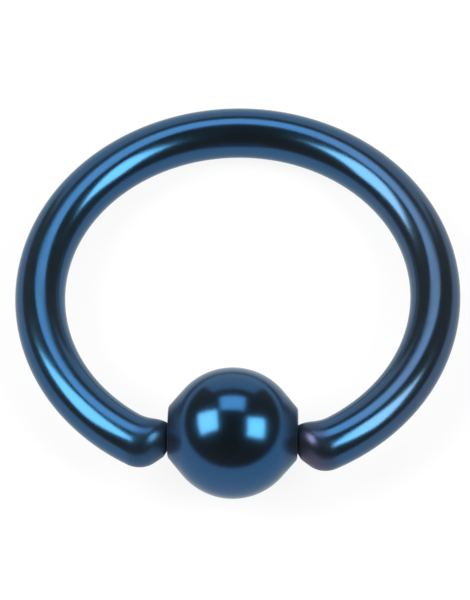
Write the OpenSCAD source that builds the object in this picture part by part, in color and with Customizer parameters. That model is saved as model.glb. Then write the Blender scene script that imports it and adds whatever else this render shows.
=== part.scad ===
// Captive bead ring: an open hoop of round wire whose two tapered ends hold a dimpled bead.
// Millimetres. The hoop lies on its side on the plane z = 0, as it rests by itself: on the
// far side of the wire and on the bead, which is the thicker of the two. The bead is at -Y.

/* [Hoop] */
// Diameter of the round wire
wire_d = 1.6; // [1.2:0.1:2]
// Clear diameter inside the hoop
hoop_inner_d = 11; // [9:0.5:16]
// Diameter of the rounded nose at the tip of each end
nose_d = 1; // [0.8:0.05:1.1]
// How far each nose reaches past the face of the bead
nose_depth = 0.2; // [0.1:0.01:0.3]

/* [Bead] */
// Diameter of the bead
bead_d = 4.16; // [3.6:0.02:6]
// How far each face stands out of the round of the bead
collar_h = 0.13; // [0.05:0.01:0.2]
// Width of the flat rim round the dimple in each face
rim_w = 0.1; // [0.06:0.01:0.2]

/* [Fit] */
// Clearance between the face of the bead and the round shoulder of the wire's end
shoulder_gap = 0.12; // [0.08:0.01:0.3]
// Clearance between a nose and its dimple
nose_gap = 0.05; // [0.03:0.01:0.1]
// How much wider than the nose its dimple is made, so that the nose may lie off the bead's axis
dimple_ease = 0.2; // [0.1:0.01:0.3]
// How far the noses lie outside the bead's axis
nose_drop = 0.2; // [0:0.01:0.3]
// How far the bead's axis lies inside the line that joins the ends of the full wire
axis_inset = 0.4; // [0.2:0.01:0.6]

/* [Hidden] */
$fn = 96;

wire_r = wire_d / 2;
nose_r = nose_d / 2;
bead_r = bead_d / 2;

// How far one round form starts inside the one that it grows out of
seam = 0.01;

// The wire's own circle
hoop_r = hoop_inner_d / 2 + wire_r;

// The dimple, the print of a ball in the face of the bead
dimple_r = nose_r + nose_gap + nose_drop + dimple_ease;
dimple_set = nose_r - nose_depth + sqrt((nose_drop + dimple_ease) ^ 2 - nose_drop ^ 2);
mouth_r = sqrt(dimple_r ^ 2 - dimple_set ^ 2);
face_r = mouth_r + rim_w;

// Places along the bead's axis, from its middle
face_x = sqrt(bead_r ^ 2 - face_r ^ 2) + collar_h;
dimple_x = face_x + dimple_set;
nose_x = face_x - nose_depth + nose_r;
end_x = face_x + shoulder_gap + wire_r;

// Places in the plane of the hoop, from its middle
gap_angle = asin(end_x / hoop_r);
end_y = -hoop_r * cos(gap_angle);
bead_y = end_y + axis_inset;
nose_y = bead_y - nose_drop;

// The cone that joins the shoulder of the wire's end to the nose
shoulder_r = wire_r - seam;
nose_l = norm([end_x - nose_x, nose_y - end_y]);
nose_turn = atan2(nose_y - end_y, end_x - nose_x);
nose_slope = asin((shoulder_r - nose_r) / nose_l);

// The cone from the edge of a face to the round of the bead
collar_root_r = bead_r - seam;
collar_angle = atan2(face_r, face_x) + acos(collar_root_r / norm([face_x, face_r]));

// The pose at rest, on the far side of the wire and on the bead, with the middle at x = y = 0
rest_tilt = asin((bead_r - wire_r) / (hoop_r - bead_y));
rest_z = wire_r + hoop_r * sin(rest_tilt);
rest_y = (bead_r - bead_y * cos(rest_tilt) - hoop_r * cos(rest_tilt) - wire_r) / 2;

// Lays a piece drawn in the plane of the hoop down on the floor
module at_rest() {
    translate([0, rest_y, rest_z]) rotate([-rest_tilt, 0, 0]) children();
}

// The wire, bent round from one side of the bead to the other
module hoop_arc() {
    rotate([0, 0, gap_angle - 90])
        rotate_extrude(angle = 360 - 2 * gap_angle)
            translate([hoop_r, 0]) circle(r = wire_r);
}

// Half of the outline of the wire's end: a round shoulder, a cone and a round nose, along +Y
module end_outline() {
    shoulder_edge = shoulder_r * [cos(nose_slope), sin(nose_slope)];
    nose_edge = nose_r * [cos(nose_slope), sin(nose_slope)] + [0, nose_l];
    intersection() {
        union() {
            circle(r = shoulder_r);
            polygon([[0, shoulder_edge.y], shoulder_edge, nose_edge, [0, nose_edge.y]]);
            translate([0, nose_l]) circle(r = nose_r);
        }
        translate([0, -shoulder_r]) square([shoulder_r, shoulder_r + nose_l + nose_r]);
    }
}

// The tapered end on the +X side, with its nose turned in to the bead
module tapered_end() {
    translate([end_x, end_y, 0])
        rotate([0, 0, -nose_turn])
            rotate([0, -90, 0])
                rotate_extrude() end_outline();
}

// The open hoop, one piece of wire
module ring() {
    color([0.16, 0.34, 0.55])
        at_rest() {
            hoop_arc();
            tapered_end();
            mirror([1, 0, 0]) tapered_end();
        }
}

// One of the bead's two faces, raised on a cone out of the round of the bead, along +Z
module raised_face() {
    root_z = collar_root_r * cos(collar_angle);
    translate([0, 0, root_z])
        cylinder(h = face_x - root_z, r1 = collar_root_r * sin(collar_angle), r2 = face_r);
}

// A ball with a dimpled face at each pole, along Z
module dimpled_ball() {
    difference() {
        union() {
            sphere(r = bead_r);
            raised_face();
            rotate([180, 0, 0]) raised_face();
        }
        translate([0, 0, dimple_x]) sphere(r = dimple_r);
        translate([0, 0, -dimple_x]) sphere(r = dimple_r);
    }
}

// The bead, with its axis along the line between the ends of the wire
module bead() {
    color([0.13, 0.3, 0.52])
        at_rest()
            translate([0, bead_y, 0])
                rotate([0, 90, 0])
                    dimpled_ball();
}

ring();
bead();
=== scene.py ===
"""Looks of a captive bead ring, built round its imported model.

A polished hoop of blue anodised wire lies on a pale floor and holds a dimpled bead between
its tapered ends. Lengths are in metres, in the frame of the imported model.
"""

import logging
import math
from dataclasses import dataclass, field
from enum import Enum
from typing import Callable, Sequence

import bmesh
import bpy
from mathutils import Matrix, Vector

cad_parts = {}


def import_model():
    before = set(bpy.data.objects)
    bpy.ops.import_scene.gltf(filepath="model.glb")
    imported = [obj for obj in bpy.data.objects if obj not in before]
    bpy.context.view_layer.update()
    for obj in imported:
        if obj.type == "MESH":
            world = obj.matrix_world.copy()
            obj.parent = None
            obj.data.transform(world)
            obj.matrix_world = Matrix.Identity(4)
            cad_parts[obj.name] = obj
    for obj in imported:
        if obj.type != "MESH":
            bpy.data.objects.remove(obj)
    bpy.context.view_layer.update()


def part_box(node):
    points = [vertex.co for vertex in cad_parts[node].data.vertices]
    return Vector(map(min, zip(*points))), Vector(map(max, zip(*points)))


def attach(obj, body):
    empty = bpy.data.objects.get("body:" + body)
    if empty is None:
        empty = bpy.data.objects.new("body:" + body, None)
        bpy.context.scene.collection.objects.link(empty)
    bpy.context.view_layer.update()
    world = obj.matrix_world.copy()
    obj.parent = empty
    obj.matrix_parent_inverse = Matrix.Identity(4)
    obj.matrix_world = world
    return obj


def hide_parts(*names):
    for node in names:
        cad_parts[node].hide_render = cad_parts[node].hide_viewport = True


MM = 0.001
TOUCH = 1e-8  # vertices that lie closer than this are one
LEAST_TURN = 1e-6  # a turn smaller than this, in radians, isn't made
LOG = logging.getLogger("captive_bead_ring")

Color = tuple[float, float, float, float]
Tint = tuple[float, float, float]

WARM: Tint = (1.0, 1.0, 0.82)
NEUTRAL: Tint = (1.0, 1.0, 1.0)
WHITE: Color = (1.0, 1.0, 1.0, 1.0)
GRAZING_TINT: Color = (0.74, 0.77, 0.76, 1.0)

# The sockets of a Mix node that mixes colours
MIX_FACTOR, MIX_FIRST, MIX_SECOND, MIX_RESULT = 0, 6, 7, 2


class Side(Enum):
    """The two sides of the gap in the hoop, by the sign of X."""

    LEFT = -1
    RIGHT = 1


class Axis(Enum):
    """The axis that a piece is turned or bent about, in the hoop's own plane."""

    HOOP = "z"
    BEAD = "x"


@dataclass(frozen=True)
class RingSizes:
    """The driving sizes of the ring, and the places that follow from them.

    The hoop's own plane has its middle at the origin and the bead at -Y. Every place here is
    in that plane.
    """

    wire_r: float = 0.8 * MM
    hoop_inner_r: float = 5.5 * MM
    nose_r: float = 0.5 * MM
    nose_depth: float = 0.2 * MM
    bead_r: float = 2.08 * MM
    collar_h: float = 0.13 * MM
    rim_w: float = 0.1 * MM
    shoulder_gap: float = 0.12 * MM
    nose_gap: float = 0.05 * MM
    dimple_ease: float = 0.2 * MM
    nose_drop: float = 0.2 * MM
    axis_inset: float = 0.4 * MM

    @property
    def hoop_r(self) -> float:
        """Radius of the wire's centre line."""
        return self.hoop_inner_r + self.wire_r

    @property
    def dimple_r(self) -> float:
        """Radius of the ball that printed the dimple."""
        return self.nose_r + self.nose_gap + self.nose_drop + self.dimple_ease

    @property
    def dimple_set(self) -> float:
        """How far the middle of that ball lies outside the bead's face."""
        side = math.sqrt((self.nose_drop + self.dimple_ease) ** 2 - self.nose_drop ** 2)
        return self.nose_r - self.nose_depth + side

    @property
    def mouth_r(self) -> float:
        """Radius of the dimple's mouth."""
        return math.sqrt(self.dimple_r ** 2 - self.dimple_set ** 2)

    @property
    def face_r(self) -> float:
        """Outer radius of the bead's flat face."""
        return self.mouth_r + self.rim_w

    @property
    def face_x(self) -> float:
        """Distance of the bead's face from its middle."""
        return math.sqrt(self.bead_r ** 2 - self.face_r ** 2) + self.collar_h

    @property
    def end_x(self) -> float:
        """Distance of the full wire's end from the middle, along X."""
        return self.face_x + self.shoulder_gap + self.wire_r

    @property
    def gap_angle(self) -> float:
        """Half of the angle that the hoop is open by."""
        return math.asin(self.end_x / self.hoop_r)

    @property
    def end_y(self) -> float:
        """Y of the full wire's ends."""
        return -self.hoop_r * math.cos(self.gap_angle)

    @property
    def bead_y(self) -> float:
        """Y of the bead's middle."""
        return self.end_y + self.axis_inset

    @property
    def nose(self) -> Vector:
        """Middle of the right nose."""
        nose_x = self.face_x - self.nose_depth + self.nose_r
        return Vector((nose_x, self.bead_y - self.nose_drop, 0.0))

    @property
    def rest_tilt(self) -> float:
        """Angle by which the hoop leans on its bead."""
        return math.asin((self.bead_r - self.wire_r) / (self.hoop_r - self.bead_y))

    @property
    def rest_place(self) -> Vector:
        """Where the hoop's middle comes to lie, with the outline centred over the origin.

        Returns:
            The place, on the floor's own axes.
        """
        reach = (self.bead_y + self.hoop_r) * math.cos(self.rest_tilt)
        y = (self.bead_r - self.wire_r - reach) / 2.0
        return Vector((0.0, y, self.wire_r + self.hoop_r * math.sin(self.rest_tilt)))

    def rest_matrix(self) -> Matrix:
        """Lays the hoop's own plane down on the floor.

        Returns:
            The matrix that takes a place in the hoop's plane to its place at rest.
        """
        return Matrix.Translation(self.rest_place) @ Matrix.Rotation(-self.rest_tilt, 4, "X")


@dataclass(frozen=True)
class Section:
    """One oval section of a drawn-out end.

    It has a middle, half a width in the hoop's plane, half a height and a turn in the plane.
    """

    middle: Vector
    width: float
    height: float
    turn: float = 0.0


class Workpiece:
    """A mesh under the hand, shaped in edit mode with the usual tools."""

    def __init__(self, name: str) -> None:
        """Takes over the active object, just added, and opens it for editing.

        Args:
            name: The name that the piece gets.
        """
        self.obj = bpy.context.view_layer.objects.active
        self.obj.name = name
        self.obj.data.name = name
        bpy.ops.object.transform_apply(location=True, rotation=True, scale=True)
        bpy.ops.object.mode_set(mode="EDIT")
        bpy.ops.mesh.select_mode(type="VERT")

    def select(self, wanted: Callable[[bmesh.types.BMVert], bool]) -> int:
        """Selects the vertices that a test picks, and the edges and faces between them.

        Args:
            wanted: The test.

        Returns:
            How many vertices it picked.
        """
        mesh = bmesh.from_edit_mesh(self.obj.data)
        for vert in mesh.verts:
            vert.select_set(False)
        mesh.select_flush(False)
        picked = [vert for vert in mesh.verts if wanted(vert)]
        for vert in picked:
            vert.select_set(True)
        mesh.select_flush(True)
        bmesh.update_edit_mesh(self.obj.data)
        return len(picked)

    def select_rim(self, side: Side) -> int:
        """Selects the open edge on one side of the piece."""
        return self.select(lambda vert: vert.is_boundary and vert.co.x * side.value > 0.0)

    def draw_out(self, start: Section, sections: Sequence[Section]) -> None:
        """Extrudes the selected edge loop through a row of sections, and closes it at the last.

        Args:
            start: The section that the selected loop is at.
            sections: Where it goes next, each one turned and sized as stated.
        """
        last = start
        for section in sections:
            bpy.ops.mesh.extrude_region_move(
                TRANSFORM_OT_translate={"value": section.middle - last.middle})
            turn = section.turn - last.turn
            if abs(turn) > LEAST_TURN:
                bpy.ops.transform.rotate(
                    value=-turn, orient_axis="Z", center_override=section.middle)
            wider, higher = section.width / last.width, section.height / last.height
            bpy.ops.transform.resize(value=(wider, wider, higher), center_override=section.middle)
            last = section
        bpy.ops.mesh.merge(type="CENTER")

    def finish(self, place: Matrix) -> bpy.types.Object:
        """Closes the edit, turns the faces outward, smooths them and lays the piece down.

        Args:
            place: Where the piece's own plane comes to lie.

        Returns:
            The finished object, at the origin, with its place in its mesh.
        """
        bpy.ops.mesh.select_all(action="SELECT")
        bpy.ops.mesh.remove_doubles(threshold=TOUCH)
        bpy.ops.mesh.normals_make_consistent(inside=False)
        bpy.ops.object.mode_set(mode="OBJECT")
        bpy.ops.object.shade_smooth()
        bpy.ops.object.modifier_add(type="WEIGHTED_NORMAL")
        bpy.ops.object.modifier_apply(modifier=self.obj.modifiers[-1].name)
        self.obj.matrix_world = place
        bpy.ops.object.transform_apply(location=True, rotation=True, scale=True)
        bpy.ops.object.select_all(action="DESELECT")
        return self.obj


def direction(angle: float) -> Vector:
    """The unit vector at an angle from +X, in the hoop's plane."""
    return Vector((math.cos(angle), math.sin(angle), 0.0))


def spread(first: float, last: float, count: int) -> list[float]:
    """Evenly spaced values after first, up to and with last."""
    return [first + (last - first) * (i + 1) / count for i in range(count)]


def walk(points: Sequence[Vector], share: float) -> Vector:
    """Finds a place along a row of points.

    Args:
        points: The row.
        share: How far along it, from 0 to 1, by length.

    Returns:
        The place.
    """
    steps = [(b - a).length for a, b in zip(points, points[1:])]
    left = share * sum(steps)
    for (a, b), step in zip(zip(points, points[1:]), steps):
        if left <= step:
            return a.lerp(b, left / step)
        left -= step
    return points[-1].copy()


def sweep(first: Vector, leaving: Vector, last: Vector, arriving: Vector,
          steps: int) -> list[Vector]:
    """Draws a smooth curve between two places.

    Args:
        first: Where it starts.
        leaving: Unit direction in which it leaves.
        last: Where it ends.
        arriving: Unit direction in which it arrives.
        steps: Pieces that the curve has.

    Returns:
        The points of the curve, with both of its ends.
    """
    reach = (last - first).length / 3.0
    handles = (first, first + leaving * reach, last - arriving * reach, last)
    points = []
    for t in (i / steps for i in range(steps + 1)):
        weights = ((1 - t) ** 3, 3 * t * (1 - t) ** 2, 3 * t * t * (1 - t), t ** 3)
        points.append(sum((h * w for h, w in zip(handles, weights)), Vector()))
    return points


@dataclass
class Hoop:
    """The open hoop: round wire, bent in a circle, with a tapered, rounded end on each side."""

    sizes: RingSizes
    name: str = "hoop_wire"
    around: int = 96  # vertices round the wire
    along: int = 300  # steps along the bend
    blend_back: float = math.radians(4.0)  # how far before its end the wire starts to taper
    rail_steps: int = 64  # sections of each end
    dome_l: float = 0.85 * MM  # length over which the end's height rounds off
    oval: float = 1.15  # height to width of the sections where the end rounds off
    neck_ease: float = 0.012 * MM  # how far the neck lies off the round of the nose
    neck_angle: float = math.radians(116.5)  # where the neck is, round the nose
    neck_turn: float = math.radians(199.0)  # which way the wire runs over the neck
    flank_normal: float = math.radians(-126.0)  # which way the flank below the shoulder faces
    heel_gap: float = 0.12 * MM  # distance from the heel's corner to the bead's face
    heel_r: float = 0.1 * MM  # rounding of that corner
    root_normal: float = math.radians(-128.0)  # where the heel meets the nose, round the nose
    arc_steps: int = 24  # pieces of each curve of the rails

    def build(self) -> bpy.types.Object:
        """Spins the wire, draws both ends out and lays the hoop down.

        Returns:
            The hoop's object.
        """
        sizes = self.sizes
        first = sizes.gap_angle + self.blend_back - math.pi / 2.0
        bpy.ops.object.select_all(action="DESELECT")
        bpy.ops.mesh.primitive_circle_add(
            vertices=self.around, radius=sizes.wire_r, fill_type="NOTHING",
            location=direction(first) * sizes.hoop_r, rotation=(math.pi / 2.0, 0.0, first))
        piece = Workpiece(self.name)
        piece.select(lambda vert: True)
        bend = 2.0 * (math.pi - sizes.gap_angle - self.blend_back)
        bpy.ops.mesh.spin(steps=self.along, angle=-bend, center=(0.0, 0.0, 0.0),
                          axis=(0.0, 0.0, 1.0))
        for side in Side:
            count = piece.select_rim(side)
            LOG.debug("%s: %d vertices on the open rim, %s side", self.name, count, side.name)
            start = Section(direction(first) * sizes.hoop_r, sizes.wire_r, sizes.wire_r, first)
            sections = [self._mirrored(s, side) for s in self._end_sections(first)]
            piece.draw_out(self._mirrored(start, side), sections)
        return piece.finish(sizes.rest_matrix())

    def _end_sections(self, first: float) -> list[Section]:
        """Sections of the right end, from the wire to the tip of its nose.

        Args:
            first: Where the wire stops, as an angle round the hoop.

        Returns:
            The sections in order. Each is an oval between an inner and an outer rail, as high
            as the wire until the end rounds off.
        """
        sizes = self.sizes
        end = Vector((sizes.end_x, sizes.end_y, 0.0))
        to_nose = sizes.nose - end
        axis = math.atan2(to_nose.y, to_nose.x)
        tip = sizes.nose + direction(axis) * sizes.nose_r
        inner = self._inner_rail(first, tip, axis)
        outer = self._outer_rail(first, end, axis)
        dome_x = sizes.nose.x - sizes.nose_r + self.dome_l
        sections = []
        for share in spread(0.0, 1.0, self.rail_steps)[:-1]:
            near, far = walk(inner, share), walk(outer, share)
            across = far - near
            middle, width = (near + far) / 2.0, across.length / 2.0
            past = max(0.0, dome_x - middle.x) / self.dome_l
            height = min(sizes.wire_r * math.sqrt(1.0 - past ** 2), width * self.oval)
            sections.append(Section(middle, width, height, math.atan2(across.y, across.x)))
        return sections

    def _inner_rail(self, first: float, tip: Vector, axis: float) -> list[Vector]:
        """The side of the end that faces the middle of the hoop.

        Args:
            first: Where it leaves the wire, as an angle round the hoop.
            tip: Tip of the nose.
            axis: Angle of the nose's axis.

        Returns:
            A smooth row of points, over the neck to the tip.
        """
        sizes = self.sizes
        begin = direction(first) * sizes.hoop_inner_r
        neck = sizes.nose + direction(self.neck_angle) * (sizes.nose_r + self.neck_ease)
        over_neck = direction(self.neck_turn)
        back_along_wire = direction(first - math.pi / 2.0)
        over_tip = direction(axis + math.pi / 2.0)
        points = sweep(begin, back_along_wire, neck, over_neck, self.arc_steps)
        return points + sweep(neck, over_neck, tip, over_tip, self.arc_steps)[1:]

    def _outer_rail(self, first: float, end: Vector, axis: float) -> list[Vector]:
        """The side of the end that faces away from the middle of the hoop.

        Args:
            first: Where it leaves the wire, as an angle round the hoop.
            end: Middle of the round shoulder.
            axis: Angle of the nose's axis.

        Returns:
            A row of points: the wire, the shoulder, the flank, its heel and the nose.
        """
        sizes = self.sizes
        wire_end = sizes.gap_angle - math.pi / 2.0
        outer_r = sizes.hoop_r + sizes.wire_r
        points = [direction(a) * outer_r for a in (first, *spread(first, wire_end, self.arc_steps))]
        points += [end + direction(a) * sizes.wire_r
                   for a in spread(wire_end, self.flank_normal, self.arc_steps)]
        along = direction(self.flank_normal - math.pi / 2.0)
        heel = points[-1] + along * ((sizes.face_x + self.heel_gap - points[-1].x) / along.x)
        root = sizes.nose + direction(self.root_normal) * sizes.nose_r
        points += rounded(heel, along, (root - heel).normalized(), self.heel_r, self.arc_steps)
        points.append(root)
        points += [sizes.nose + direction(a) * sizes.nose_r
                   for a in spread(self.root_normal, axis - 2.0 * math.pi, self.arc_steps)]
        return points

    @staticmethod
    def _mirrored(section: Section, side: Side) -> Section:
        """Mirrors a section to its side of the gap.

        Args:
            section: The section on the right side.
            side: The side that it is for.

        Returns:
            The section on that side.
        """
        if side is Side.RIGHT:
            return section
        middle = Vector((-section.middle.x, section.middle.y, 0.0))
        return Section(middle, section.width, section.height, math.pi - section.turn)


@dataclass
class Bead:
    """The captive bead: a ball with a raised, dimpled face on each side."""

    sizes: RingSizes
    name: str = "captive_ball"
    segments: int = 128  # vertices round the bead's axis
    rings: int = 96  # steps from pole to pole
    edge_r: float = 0.17 * MM  # rounding of a collar's outer edge
    lip_r: float = 0.03 * MM  # rounding of a dimple's lip
    edge_steps: int = 10  # pieces of each rounding
    dimple_steps: int = 14  # pieces of a dimple's outline

    def build(self) -> bpy.types.Object:
        """Turns the ball, cuts its poles off, raises and dimples the faces and lays it down.

        Returns:
            The bead's object.
        """
        sizes = self.sizes
        middle = Vector((0.0, sizes.bead_y, 0.0))
        bpy.ops.object.select_all(action="DESELECT")
        bpy.ops.mesh.primitive_uv_sphere_add(
            segments=self.segments, ring_count=self.rings, radius=sizes.bead_r,
            location=middle, rotation=(0.0, math.pi / 2.0, 0.0))
        piece = Workpiece(self.name)
        profile = self._face_profile()
        root_x = profile[0][0]
        for side in Side:
            piece.select(lambda vert: True)
            bpy.ops.mesh.bisect(plane_co=middle + Vector((root_x * side.value, 0.0, 0.0)),
                                plane_no=(side.value, 0.0, 0.0), clear_outer=True,
                                threshold=TOUCH)
            piece.select_rim(side)
            stops = [Section(middle + Vector((x * side.value, 0.0, 0.0)), r, r) for x, r in profile]
            piece.draw_out(stops[0], stops[1:])
        return piece.finish(sizes.rest_matrix())

    def _face_profile(self) -> list[tuple[float, float]]:
        """Outline of one face, from the root of its collar to the bottom of its dimple.

        Returns:
            Points as (distance from the bead's middle, radius).
        """
        sizes = self.sizes
        corner = Vector((sizes.face_x, sizes.face_r))
        root = math.atan2(corner.y, corner.x) + math.acos(sizes.bead_r / corner.length)
        begin = Vector((math.cos(root), math.sin(root))) * sizes.bead_r
        lip = Vector((sizes.face_x, sizes.mouth_r))
        mouth = math.asin(sizes.mouth_r / sizes.dimple_r)
        down_face = Vector((0.0, -1.0))
        down_dimple = Vector((-math.sin(mouth), -math.cos(mouth)))
        points = [begin, begin.lerp(corner, 0.5)]
        up_collar = (corner - begin).normalized()
        points += rounded(corner, up_collar, down_face, self.edge_r, self.edge_steps)
        points += rounded(lip, down_face, down_dimple, self.lip_r, self.edge_steps)
        inside = mouth - self.lip_r * math.tan((math.pi / 2.0 - mouth) / 2.0) / sizes.dimple_r
        for angle in spread(inside, 0.0, self.dimple_steps)[:-1]:
            depth = sizes.face_x + sizes.dimple_set - sizes.dimple_r * math.cos(angle)
            points.append(Vector((depth, sizes.dimple_r * math.sin(angle))))
        return [(p.x, p.y) for p in points]


def rounded(corner: Vector, into: Vector, out_of: Vector, radius: float,
            steps: int) -> list[Vector]:
    """Rounds one corner of an outline.

    Args:
        corner: The sharp corner.
        into: Unit direction in which the outline reaches it.
        out_of: Unit direction in which the outline leaves it.
        radius: Radius of the rounding.
        steps: Pieces that the rounding has.

    Returns:
        The points of the rounding, with both of its ends.
    """
    half = math.acos(max(-1.0, min(1.0, into.dot(out_of)))) / 2.0
    back = radius * math.tan(half)
    inward = (out_of - into).normalized()
    middle = corner + inward * radius / math.cos(half)
    first = corner - into * back - middle
    last = corner + out_of * back - middle
    return [middle + first.slerp(last, i / steps) * radius for i in range(steps + 1)]


class Graph:
    """Adds nodes to one node tree and joins them."""

    def __init__(self, tree: bpy.types.NodeTree) -> None:
        """Takes the tree to work on."""
        self.tree = tree

    def add(self, kind: str, settings: dict[str, object] | None = None,
            **values: object) -> bpy.types.Node:
        """Adds a node.

        Args:
            kind: Blender's name for the node's type.
            settings: The node's own properties.
            **values: Values or links for its inputs, with _ for a space in their names.

        Returns:
            The new node.
        """
        node = self.tree.nodes.new(kind)
        for key, value in (settings or {}).items():
            setattr(node, key, value)
        for key, value in values.items():
            self.feed(node.inputs[key.replace("_", " ")], value)
        return node

    def feed(self, socket: bpy.types.NodeSocket, value: object) -> None:
        """Links another node's output to a socket, or sets the socket's own value.

        Args:
            socket: The socket.
            value: The output or the value.
        """
        if isinstance(value, bpy.types.NodeSocket):
            self.tree.links.new(value, socket)
        else:
            socket.default_value = value

    def row(self, node: bpy.types.Node, *values: object) -> bpy.types.Node:
        """Feeds a node's inputs in their own order, where they share a name.

        Args:
            node: The node.
            *values: A value or an output for each of its first inputs.

        Returns:
            The node.
        """
        for socket, value in zip(node.inputs, values):
            self.feed(socket, value)
        return node

    def math(self, operation: str, *values: object) -> bpy.types.NodeSocket:
        """Adds a Math node.

        Args:
            operation: Blender's name for the operation.
            *values: A number or an output for each of its inputs.

        Returns:
            The node's output.
        """
        node = self.row(self.add("ShaderNodeMath", {"operation": operation}), *values)
        return node.outputs["Value"]

    def between(self, value: bpy.types.NodeSocket, low: float, high: float) -> bpy.types.NodeSocket:
        """Turns a value into a mask.

        Args:
            value: An output that holds the value.
            low: Where the mask is still 0.
            high: Where the mask has come to 1, smoothly.

        Returns:
            The mask.
        """
        node = self.add("ShaderNodeMapRange", {"interpolation_type": "SMOOTHSTEP"},
                        Value=value, From_Min=low, From_Max=high)
        return node.outputs["Result"]

    def mix_colors(self, factor: object, first: object, second: object) -> bpy.types.NodeSocket:
        """Mixes two colours.

        Args:
            factor: Share of the second colour, or an output that holds it.
            first: A colour, or an output that holds it.
            second: A colour, or an output that holds it.

        Returns:
            The mixed colour.
        """
        node = self.add("ShaderNodeMix", {"data_type": "RGBA"})
        for socket, value in ((MIX_FACTOR, factor), (MIX_FIRST, first), (MIX_SECOND, second)):
            self.feed(node.inputs[socket], value)
        return node.outputs[MIX_RESULT]


class Effect:
    """A shader node group that more than one finish uses."""

    title = "effect"
    takes: dict[str, tuple[str, object]] = {}
    gives: dict[str, str] = {}

    def __init__(self) -> None:
        """Builds the group, with its named inputs and outputs."""
        self.group = bpy.data.node_groups.new(self.title, "ShaderNodeTree")
        for name, (kind, value) in self.takes.items():
            socket = self.group.interface.new_socket(name=name, in_out="INPUT", socket_type=kind)
            if kind != "NodeSocketVector":
                socket.default_value = value
        for name, kind in self.gives.items():
            self.group.interface.new_socket(name=name, in_out="OUTPUT", socket_type=kind)
        graph = Graph(self.group)
        entry = graph.add("NodeGroupInput")
        leave = graph.add("NodeGroupOutput")
        for name, result in self.wire(graph, entry.outputs).items():
            graph.feed(leave.inputs[name], result)

    def wire(self, graph: Graph, given: bpy.types.NodeOutputs) -> dict[str, bpy.types.NodeSocket]:
        """Lays the nodes inside the group.

        Args:
            graph: The group's graph.
            given: The group's inputs.

        Returns:
            An output for each of the group's own.
        """
        raise NotImplementedError

    def place(self, graph: Graph, **values: object) -> bpy.types.NodeOutputs:
        """Places the effect in a material's graph.

        Args:
            graph: The material's graph.
            **values: Values or links for its inputs, with _ for a space in their names.

        Returns:
            The placed group's outputs.
        """
        return graph.add("ShaderNodeGroup", {"node_tree": self.group}, **values).outputs


class RolledOut(Effect):
    """Rolls the space round the Z axis out straight, so that a pattern can follow a bend."""

    title = "rolled_out"
    takes = {"Vector": ("NodeSocketVector", None), "Bend Radius": ("NodeSocketFloat", 1.0)}
    gives = {"Vector": "NodeSocketVector"}

    def wire(self, graph: Graph, given: bpy.types.NodeOutputs) -> dict[str, bpy.types.NodeSocket]:
        """X runs along the bend, Y away from its axis and Z along its axis.

        Args:
            graph: The group's graph.
            given: The group's inputs.

        Returns:
            An output for each of the group's own.
        """
        place = graph.add("ShaderNodeSeparateXYZ", Vector=given["Vector"])
        angle = graph.math("ARCTAN2", place.outputs["Y"], place.outputs["X"])
        flat = graph.add("ShaderNodeCombineXYZ", X=place.outputs["X"], Y=place.outputs["Y"])
        reach = graph.add("ShaderNodeVectorMath", {"operation": "LENGTH"},
                          Vector=flat.outputs["Vector"])
        result = graph.add("ShaderNodeCombineXYZ",
                           X=graph.math("MULTIPLY", angle, given["Bend Radius"]),
                           Y=graph.math("SUBTRACT", reach.outputs["Value"], given["Bend Radius"]),
                           Z=place.outputs["Z"])
        return {"Vector": result.outputs["Vector"]}


class OxideShift(Effect):
    """Slow drift of the oxide's colour, as its thickness wanders over the metal."""

    title = "oxide_shift"
    takes = {"Vector": ("NodeSocketVector", None), "Patch Size": ("NodeSocketFloat", 3.0),
             "Blue": ("NodeSocketColor", (0.0, 0.0, 1.0, 1.0)),
             "Violet": ("NodeSocketColor", (0.2, 0.0, 1.0, 1.0)),
             "Level": ("NodeSocketFloat", 0.0), "Wander": ("NodeSocketFloat", 1.0),
             "Drift": ("NodeSocketFloat", 0.0)}
    gives = {"Color": "NodeSocketColor"}
    wander_detail = 2.0
    wander_roughness = 0.45
    turn_from = 0.42
    turn_to = 0.88

    def wire(self, graph: Graph, given: bpy.types.NodeOutputs) -> dict[str, bpy.types.NodeSocket]:
        """Mixes the two colours by a broad noise, to which a level and a drift along Y add.

        Args:
            graph: The group's graph.
            given: The group's inputs.

        Returns:
            An output for each of the group's own.
        """
        scale = graph.math("DIVIDE", 1.0, given["Patch Size"])
        broad = graph.add("ShaderNodeTexNoise", Vector=given["Vector"], Scale=scale,
                          Detail=self.wander_detail, Roughness=self.wander_roughness)
        wandered = graph.math("MULTIPLY_ADD", broad.outputs["Fac"], given["Wander"], given["Level"])
        place = graph.add("ShaderNodeSeparateXYZ", Vector=given["Vector"])
        drifted = graph.math("MULTIPLY_ADD", place.outputs["Y"], given["Drift"], wandered)
        share = graph.between(drifted, self.turn_from, self.turn_to)
        return {"Color": graph.mix_colors(share, given["Blue"], given["Violet"])}


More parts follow.
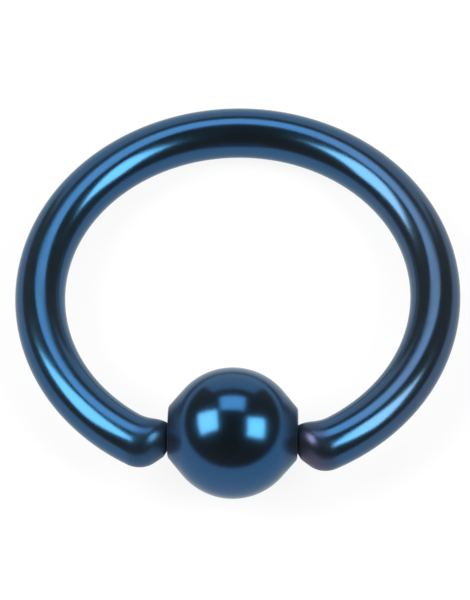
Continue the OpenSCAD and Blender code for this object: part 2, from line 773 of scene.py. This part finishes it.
class PolishHaze(Effect):
    """Patches where the polish is a little duller, and faint smears across it."""

    title = "polish_haze"
    takes = {"Vector": ("NodeSocketVector", None), "Patch Size": ("NodeSocketFloat", 1.0),
             "Bright": ("NodeSocketFloat", 0.08), "Dull": ("NodeSocketFloat", 0.16)}
    gives = {"Roughness": "NodeSocketFloat"}
    patch_detail = 5.0
    patch_roughness = 0.6
    smear = 0.4
    dull_from = 0.35
    dull_to = 0.75

    def wire(self, graph: Graph, given: bpy.types.NodeOutputs) -> dict[str, bpy.types.NodeSocket]:
        """Runs from the bright roughness to the dull one by a noise.

        Args:
            graph: The group's graph.
            given: The group's inputs.

        Returns:
            An output for each of the group's own.
        """
        scale = graph.math("DIVIDE", 1.0, given["Patch Size"])
        noise = graph.add("ShaderNodeTexNoise", Vector=given["Vector"], Scale=scale,
                          Detail=self.patch_detail, Roughness=self.patch_roughness,
                          Distortion=self.smear)
        mask = graph.between(noise.outputs["Fac"], self.dull_from, self.dull_to)
        span = graph.math("SUBTRACT", given["Dull"], given["Bright"])
        return {"Roughness": graph.math("MULTIPLY_ADD", mask, span, given["Bright"])}


class Hairlines(Effect):
    """Fine polishing lines and a few longer scratches, along X of the rolled-out space."""

    title = "hairlines"
    takes = {"Vector": ("NodeSocketVector", None), "Spacing": ("NodeSocketFloat", 0.02),
             "Length": ("NodeSocketFloat", 1.5), "Scratches": ("NodeSocketFloat", 0.5)}
    gives = {"Height": "NodeSocketFloat"}
    line_detail = 3.0
    line_roughness = 0.65
    line_height = 0.5
    scratch_scale = 0.31
    scratch_detail = 1.0
    scratch_waver = 0.3
    scratch_from = 0.66
    scratch_to = 0.74

    def wire(self, graph: Graph, given: bpy.types.NodeOutputs) -> dict[str, bpy.types.NodeSocket]:
        """Stretches a noise along the lines, and cuts the scratches out of a second one.

        Args:
            graph: The group's graph.
            given: The group's inputs.

        Returns:
            An output for each of the group's own.
        """
        across = graph.math("DIVIDE", 1.0, given["Spacing"])
        lengthwise = graph.math("DIVIDE", 1.0, given["Length"])
        grain = graph.add("ShaderNodeCombineXYZ", X=lengthwise, Y=across, Z=across)
        fine = graph.row(graph.add("ShaderNodeVectorMath", {"operation": "MULTIPLY"}),
                         given["Vector"], grain.outputs["Vector"]).outputs["Vector"]
        lines = graph.add("ShaderNodeTexNoise", Vector=fine, Scale=1.0, Detail=self.line_detail,
                          Roughness=self.line_roughness)
        coarse = graph.add("ShaderNodeVectorMath", {"operation": "SCALE"}, Vector=fine,
                           Scale=self.scratch_scale).outputs["Vector"]
        marks = graph.add("ShaderNodeTexNoise", Vector=coarse, Scale=1.0,
                          Detail=self.scratch_detail, Distortion=self.scratch_waver)
        cut = graph.between(marks.outputs["Fac"], self.scratch_from, self.scratch_to)
        deep = graph.math("MULTIPLY", cut, given["Scratches"])
        raised = graph.math("MULTIPLY", lines.outputs["Fac"], self.line_height)
        return {"Height": graph.math("SUBTRACT", raised, deep)}


@dataclass(frozen=True)
class Effects:
    """The effects that the finishes share, each built once."""

    rolled_out: RolledOut = field(default_factory=RolledOut)
    oxide: OxideShift = field(default_factory=OxideShift)
    haze: PolishHaze = field(default_factory=PolishHaze)
    hairlines: Hairlines = field(default_factory=Hairlines)


@dataclass(frozen=True)
class ThinSpot:
    """A spot where the oxide is thinner and turns burgundy, as where a clip held the metal.

    Its middle and its two radii, of the full tinge and of its end, are in metres.
    """

    middle: tuple[float, float, float]
    inner_r: float
    outer_r: float
    color: Color


@dataclass(frozen=True)
class WearAndShadeEnds:
    """Duller metal at both ends of a piece, which tumbling reaches less, with painted shade there:
    a darker colour where the ends meet the bead.

    It starts and is full at two distances from the middle, in millimetres: round the bend of
    the hoop, or along the axis of the bead. Dull adds to the roughness there, and share is
    how much of the painted shade colour is taken.
    """

    start: float
    full: float
    dull: float
    # painted shade: the darker colour that the ends take where they meet the bead
    color: Color
    share: float = 0.6


@dataclass(frozen=True)
class AnodisedMetal:
    """Polished titanium under a clear, coloured oxide.

    The middle and the bend's radius are in metres, and the lengths of the pattern (patch,
    hair_spacing and hair_length) in millimetres. Level, wander and drift say how far the oxide
    turns violet: everywhere, by the noise, and for each millimetre across the hoop.
    """

    name: str
    blue: Color
    violet: Color
    edge_tint: Color
    axis: Axis
    middle: tuple[float, float, float]
    bend_r: float
    # duller ends, with painted shade darkening their colour next to the bead
    ends_wear_and_shade: WearAndShadeEnds
    patch: float = 4.5
    bright: float = 0.185
    dull: float = 0.225
    hair_spacing: float = 0.025
    hair_length: float = 1.8
    scratches: float = 0.5
    relief: float = 0.04
    relief_depth: float = 0.02 * MM
    haze: float = 0.11
    haze_spread: float = 0.6
    haze_tint: Color = (0.55, 0.76, 1.0, 1.0)
    level: float = 0.0
    wander: float = 1.0
    drift: float = 0.0
    thin_spot: ThinSpot | None = None

    def make(self, effects: Effects, place: Matrix) -> bpy.types.Material:
        """Builds the material.

        Args:
            effects: The shared effects.
            place: Where the piece's own plane lies.

        Returns:
            The material, its pattern fixed to the piece and its lengths in millimetres.
        """
        material = bpy.data.materials.new(self.name)
        material.use_nodes = True
        graph = Graph(material.node_tree)
        graph.tree.nodes.clear()
        spot_from = graph.add("ShaderNodeTexCoord").outputs["Object"]
        turned = place @ Matrix.Translation(Vector(self.middle)) @ self._axis_turn()
        local = graph.add("ShaderNodeMapping", {"vector_type": "TEXTURE"}, Vector=spot_from,
                          Location=turned.to_translation(), Rotation=turned.to_euler(),
                          Scale=(MM, MM, MM)).outputs["Vector"]
        rolled = effects.rolled_out.place(graph, Vector=local, Bend_Radius=self.bend_r / MM)
        # the ends' mask drives their duller roughness and their painted shade
        ends_wear_and_shade = self._wear_and_shade_mask(graph, rolled["Vector"])
        color = effects.oxide.place(graph, Vector=local, Patch_Size=self.patch, Blue=self.blue,
                                    Violet=self.violet, Level=self.level, Wander=self.wander,
                                    Drift=self.drift)["Color"]
        # painted shade: the colour darkens towards both ends, where they meet the bead
        painted_shade_share = graph.math("MULTIPLY", ends_wear_and_shade, self.ends_wear_and_shade.share)
        color = graph.mix_colors(painted_shade_share, color, self.ends_wear_and_shade.color)
        color = self._with_thin_spot(graph, spot_from, color)
        haze = effects.haze.place(graph, Vector=rolled["Vector"], Bright=self.bright,
                                  Dull=self.dull)
        rough = graph.math("MULTIPLY_ADD", ends_wear_and_shade, self.ends_wear_and_shade.dull, haze["Roughness"])
        lines = effects.hairlines.place(graph, Vector=rolled["Vector"], Spacing=self.hair_spacing,
                                        Length=self.hair_length, Scratches=self.scratches)
        relief = graph.add("ShaderNodeBump", Strength=self.relief, Distance=self.relief_depth,
                           Height=lines["Height"])
        shader = graph.add("ShaderNodeBsdfPrincipled", Base_Color=color, Metallic=1.0,
                           Roughness=rough, Normal=relief.outputs["Normal"],
                           Specular_Tint=self.edge_tint, Sheen_Weight=self.haze,
                           Sheen_Roughness=self.haze_spread, Sheen_Tint=self.haze_tint)
        graph.add("ShaderNodeOutputMaterial", Surface=shader.outputs["BSDF"])
        return material

    def _axis_turn(self) -> Matrix:
        """Turns Z onto the axis of the pattern.

        Returns:
            The turn, which leaves the seam of the rolled-out space where it doesn't show.
        """
        if self.axis is Axis.HOOP:
            return Matrix.Rotation(math.pi / 2.0, 4, "Z")
        return Matrix.Rotation(math.pi / 2.0, 4, "Y")

    def _wear_and_shade_mask(self, graph: Graph, rolled: bpy.types.NodeSocket) -> bpy.types.NodeSocket:
        """Marks the ends of the piece, for their duller roughness and their painted shade.

        Args:
            graph: The material's graph.
            rolled: The rolled-out place.

        Returns:
            A mask, 1 at both ends.
        """
        place = graph.add("ShaderNodeSeparateXYZ", Vector=rolled)
        along = place.outputs["X" if self.axis is Axis.HOOP else "Z"]
        return graph.between(graph.math("ABSOLUTE", along), self.ends_wear_and_shade.start, self.ends_wear_and_shade.full)

    def _with_thin_spot(self, graph: Graph, spot_from: bpy.types.NodeSocket,
                        color: bpy.types.NodeSocket) -> bpy.types.NodeSocket:
        """Fades the colour to burgundy round the thin spot, if there is one.

        Args:
            graph: The material's graph.
            spot_from: The place on the piece.
            color: The colour so far.

        Returns:
            The colour with the spot.
        """
        spot = self.thin_spot
        if spot is None:
            return color
        away = graph.row(graph.add("ShaderNodeVectorMath", {"operation": "DISTANCE"}),
                         spot_from, spot.middle).outputs["Value"]
        mask = graph.between(away, spot.inner_r, spot.outer_r)
        return graph.mix_colors(mask, spot.color, color)


@dataclass(frozen=True)
class SoftBox:
    """A soft box that faces the ring.

    Azimuth, elevation and roll are in degrees, and the distance is in metres. Width and height
    are for each metre of distance, and the radiance is the brightness that the metal mirrors.
    """

    name: str
    azimuth: float
    elevation: float
    width: float
    height: float
    radiance: float
    tint: Tint
    roll: float = 0.0
    distance: float = 1.6

    def hang(self, aim: Vector) -> bpy.types.Object:
        """Hangs the box and lights it.

        Args:
            aim: The place that it faces.

        Returns:
            The light's object.
        """
        back = view_direction(self.azimuth, self.elevation)
        wide, high = self.width * self.distance, self.height * self.distance
        bpy.ops.object.light_add(type="AREA", location=aim + back * self.distance)
        lamp = bpy.context.view_layer.objects.active
        lamp.name = self.name
        lamp.matrix_world = facing(aim + back * self.distance, back, self.roll)
        lamp.data.shape = "RECTANGLE"
        lamp.data.size, lamp.data.size_y = wide, high
        lamp.data.energy = self.radiance * wide * high * math.pi
        lamp.data.color = self.tint
        lamp.visible_camera = False
        return lamp


def view_direction(azimuth: float, elevation: float) -> Vector:
    """Finds the direction of a place, seen from the ring.

    Args:
        azimuth: Degrees round from -Y, towards +X.
        elevation: Degrees above the floor.

    Returns:
        The unit vector towards it.
    """
    az, el = math.radians(azimuth), math.radians(elevation)
    return Vector((math.sin(az) * math.cos(el), -math.cos(az) * math.cos(el), math.sin(el)))


def facing(place: Vector, back: Vector, roll: float = 0.0) -> Matrix:
    """The matrix of a camera or lamp.

    Args:
        place: Where it is.
        back: Unit direction from what it looks at towards it.
        roll: How far its right side dips, in degrees.

    Returns:
        The matrix, with -Z along the view.
    """
    right = Vector((0.0, 0.0, 1.0)).cross(back).normalized()
    up = back.cross(right)
    angle = math.radians(roll)
    turned_right = right * math.cos(angle) - up * math.sin(angle)
    turned_up = right * math.sin(angle) + up * math.cos(angle)
    turned = Matrix((turned_right, turned_up, back)).transposed().to_4x4()
    return Matrix.Translation(place) @ turned


@dataclass
class Studio:
    """The pale floor and backdrop, the dark room above them and the soft boxes.

    Sizes are in metres. The backdrop's top is an elevation in degrees, seen from the ring.
    """

    aim: Vector
    floor_size: float = 30.0
    backdrop_y: float = 2.2
    backdrop_width: float = 2.6
    backdrop_top: float = 31.0
    paper_glow: float = 0.88
    paper_color: Color = (0.10, 0.10, 0.12, 1.0)
    room_color: Color = (0.8, 0.9, 1.0, 1.0)
    room_glow: float = 0.012
    boxes: tuple[SoftBox, ...] = (
        SoftBox("left_soft_box", azimuth=-88.0, elevation=47.0, width=0.61, height=0.62,
                radiance=9.8, tint=WARM),
        SoftBox("right_soft_box", azimuth=76.5, elevation=45.4, width=0.56, height=0.56,
                radiance=9.9, tint=WARM, roll=-20.0),
        SoftBox("back_soft_box", azimuth=180.5, elevation=60.6, width=0.69, height=0.465,
                radiance=3.45, tint=NEUTRAL),
    )

    def build(self) -> None:
        """Lays the floor, hangs the backdrop and the boxes, and sets the room's own light."""
        paper = self._paper()
        bpy.ops.object.select_all(action="DESELECT")
        bpy.ops.mesh.primitive_plane_add(size=self.floor_size)
        self._stage("floor", paper)
        height = self.backdrop_y * math.tan(math.radians(self.backdrop_top))
        bpy.ops.object.select_all(action="DESELECT")
        bpy.ops.mesh.primitive_plane_add(size=1.0, location=(0.0, self.backdrop_y, height / 2.0),
                                         rotation=(math.pi / 2.0, 0.0, 0.0))
        bpy.context.view_layer.objects.active.scale = (self.backdrop_width, height, 1.0)
        bpy.ops.object.transform_apply(location=True, rotation=True, scale=True)
        self._stage("backdrop", paper)
        for box in self.boxes:
            box.hang(self.aim)
            LOG.info("%s: %.0f degrees round, %.0f up", box.name, box.azimuth, box.elevation)
        self._light_room()

    @staticmethod
    def _stage(name: str, paper: bpy.types.Material) -> None:
        """Names the active object, covers it with paper and leaves it out of the ring.

        Args:
            name: The sheet's name.
            paper: Its material.
        """
        sheet = bpy.context.view_layer.objects.active
        sheet.name = name
        sheet.data.materials.append(paper)
        LOG.info("%s laid", name)

    def _paper(self) -> bpy.types.Material:
        """Mixes the white paper, bright enough to stay white to its far edge.

        Returns:
            The material.
        """
        material = bpy.data.materials.new("white_paper")
        material.use_nodes = True
        shader = material.node_tree.nodes["Principled BSDF"]
        shader.inputs["Base Color"].default_value = self.paper_color
        shader.inputs["Roughness"].default_value = 1.0
        shader.inputs["Specular IOR Level"].default_value = 0.0
        shader.inputs["Emission Color"].default_value = WHITE
        shader.inputs["Emission Strength"].default_value = self.paper_glow
        return material

    def _light_room(self) -> None:
        """Sets a dark room that the metal mirrors, which the camera itself sees as white."""
        world = bpy.data.worlds.new("room")
        bpy.context.scene.world = world
        world.use_nodes = True
        graph = Graph(world.node_tree)
        graph.tree.nodes.clear()
        dark = graph.add("ShaderNodeBackground", Color=self.room_color, Strength=self.room_glow)
        white = graph.add("ShaderNodeBackground", Color=WHITE, Strength=1.0)
        path = graph.add("ShaderNodeLightPath")
        mix = graph.row(graph.add("ShaderNodeMixShader"), path.outputs["Is Camera Ray"],
                        dark.outputs["Background"], white.outputs["Background"])
        graph.add("ShaderNodeOutputWorld", Surface=mix.outputs["Shader"])


@dataclass(frozen=True)
class Shot:
    """The camera: where it stands from the ring, in degrees and metres, and its lens.

    The sensor's width and the focal length are in the camera's own millimetres.
    """

    azimuth: float = 3.437
    elevation: float = 63.24
    roll: float = 1.99
    distance: float = 0.282
    slide_right: float = -0.087 * MM
    slide_up: float = -0.114 * MM
    sensor: float = 36.0
    lens: float = 530.6
    clip_near: float = 1.0 * MM
    clip_far: float = 100.0

    def take(self, middle: Vector) -> bpy.types.Object:
        """Sets the camera up.

        Args:
            middle: The middle of the hoop, which it looks at.

        Returns:
            The camera's object.
        """
        back = view_direction(self.azimuth, self.elevation)
        turned = facing(Vector(), back, self.roll)
        slide = turned.to_3x3() @ Vector((self.slide_right, self.slide_up, 0.0))
        bpy.ops.object.camera_add()
        camera = bpy.context.view_layer.objects.active
        camera.name = "photo_camera"
        camera.matrix_world = facing(middle + back * self.distance + slide, back, self.roll)
        camera.data.sensor_width = self.sensor
        camera.data.lens = self.lens
        camera.data.clip_start = self.clip_near
        camera.data.clip_end = self.clip_far
        bpy.context.scene.camera = camera
        return camera


def dress(piece: bpy.types.Object, material: bpy.types.Material, node: str, body: str) -> None:
    """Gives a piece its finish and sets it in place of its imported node.

    Args:
        piece: The finished piece.
        material: Its material.
        node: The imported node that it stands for.
        body: The body that it moves with.
    """
    piece.data.materials.clear()
    piece.data.materials.append(material)
    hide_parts(node)
    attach(piece, body)
    low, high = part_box(node)
    mine = [piece.matrix_world @ vert.co for vert in piece.data.vertices]
    for axis, letter in enumerate("xyz"):
        LOG.info("%s %s: %.3f to %.3f mm, packed %.3f to %.3f mm", piece.name, letter,
                 min(v[axis] for v in mine) / MM, max(v[axis] for v in mine) / MM,
                 low[axis] / MM, high[axis] / MM)


def hoop_finish(sizes: RingSizes, place: Matrix) -> AnodisedMetal:
    """The hoop's metal: blue on the left, violet on the right, burgundy at the right tip, with
    painted shade darkening both ends next to the bead.

    Args:
        sizes: The ring's sizes.
        place: Where the hoop's own plane lies.

    Returns:
        The finish.
    """
    spot_from_nose = Vector((-0.1 * MM, -0.45 * MM, -0.15 * MM))
    return AnodisedMetal(
        name="hoop_anodised",
        blue=(0.0185, 0.072, 0.165, 1.0),
        violet=(0.036, 0.068, 0.131, 1.0),
        edge_tint=GRAZING_TINT,
        axis=Axis.HOOP,
        middle=(0.0, 0.0, 0.0),
        bend_r=sizes.hoop_r,
        level=0.037,
        wander=0.38,
        drift=-0.096,
        haze=0.165,
        # duller ends, and painted shade that darkens their colour next to the bead
        ends_wear_and_shade=WearAndShadeEnds(start=16.5, full=17.0, dull=0.15, color=(0.013, 0.038, 0.090, 1.0)),
        thin_spot=ThinSpot(middle=tuple(place @ (sizes.nose + spot_from_nose)),
                           inner_r=0.35 * MM, outer_r=1.45 * MM,
                           color=(0.060, 0.036, 0.072, 1.0)))


def bead_finish(sizes: RingSizes) -> AnodisedMetal:
    """The bead's metal, a little darker than the hoop's and duller on its collars, with painted
    shade darkening its collars and faces next to the hoop's ends.

    Args:
        sizes: The ring's sizes.

    Returns:
        The finish.
    """
    return AnodisedMetal(
        name="bead_anodised",
        blue=(0.016, 0.073, 0.172, 1.0),
        violet=(0.024, 0.066, 0.165, 1.0),
        edge_tint=GRAZING_TINT,
        axis=Axis.BEAD,
        middle=(0.0, sizes.bead_y, 0.0),
        bend_r=sizes.bead_r,
        dull=0.215,
        hair_length=0.9,
        haze=0.118,
        # duller collars, and painted shade that darkens the collars and faces next to the hoop's
        # ends
        ends_wear_and_shade=WearAndShadeEnds(start=1.5, full=1.95, dull=0.10, color=(0.026, 0.045, 0.100, 1.0)))


def main() -> None:
    """Builds the ring, its finishes and the studio, in order."""
    logging.basicConfig(level=logging.INFO, format="%(name)s: %(message)s")
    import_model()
    sizes = RingSizes()
    place = sizes.rest_matrix()
    effects = Effects()

    dress(Hoop(sizes).build(), hoop_finish(sizes, place).make(effects, place),
          node="ring", body="hoop")
    dress(Bead(sizes).build(), bead_finish(sizes).make(effects, place),
          node="bead", body="captive_bead")

    middle = sizes.rest_place
    Shot().take(middle)
    Studio(middle).build()
    bpy.context.scene.view_settings.view_transform = "Standard"


if __name__ == "__main__":
    main()
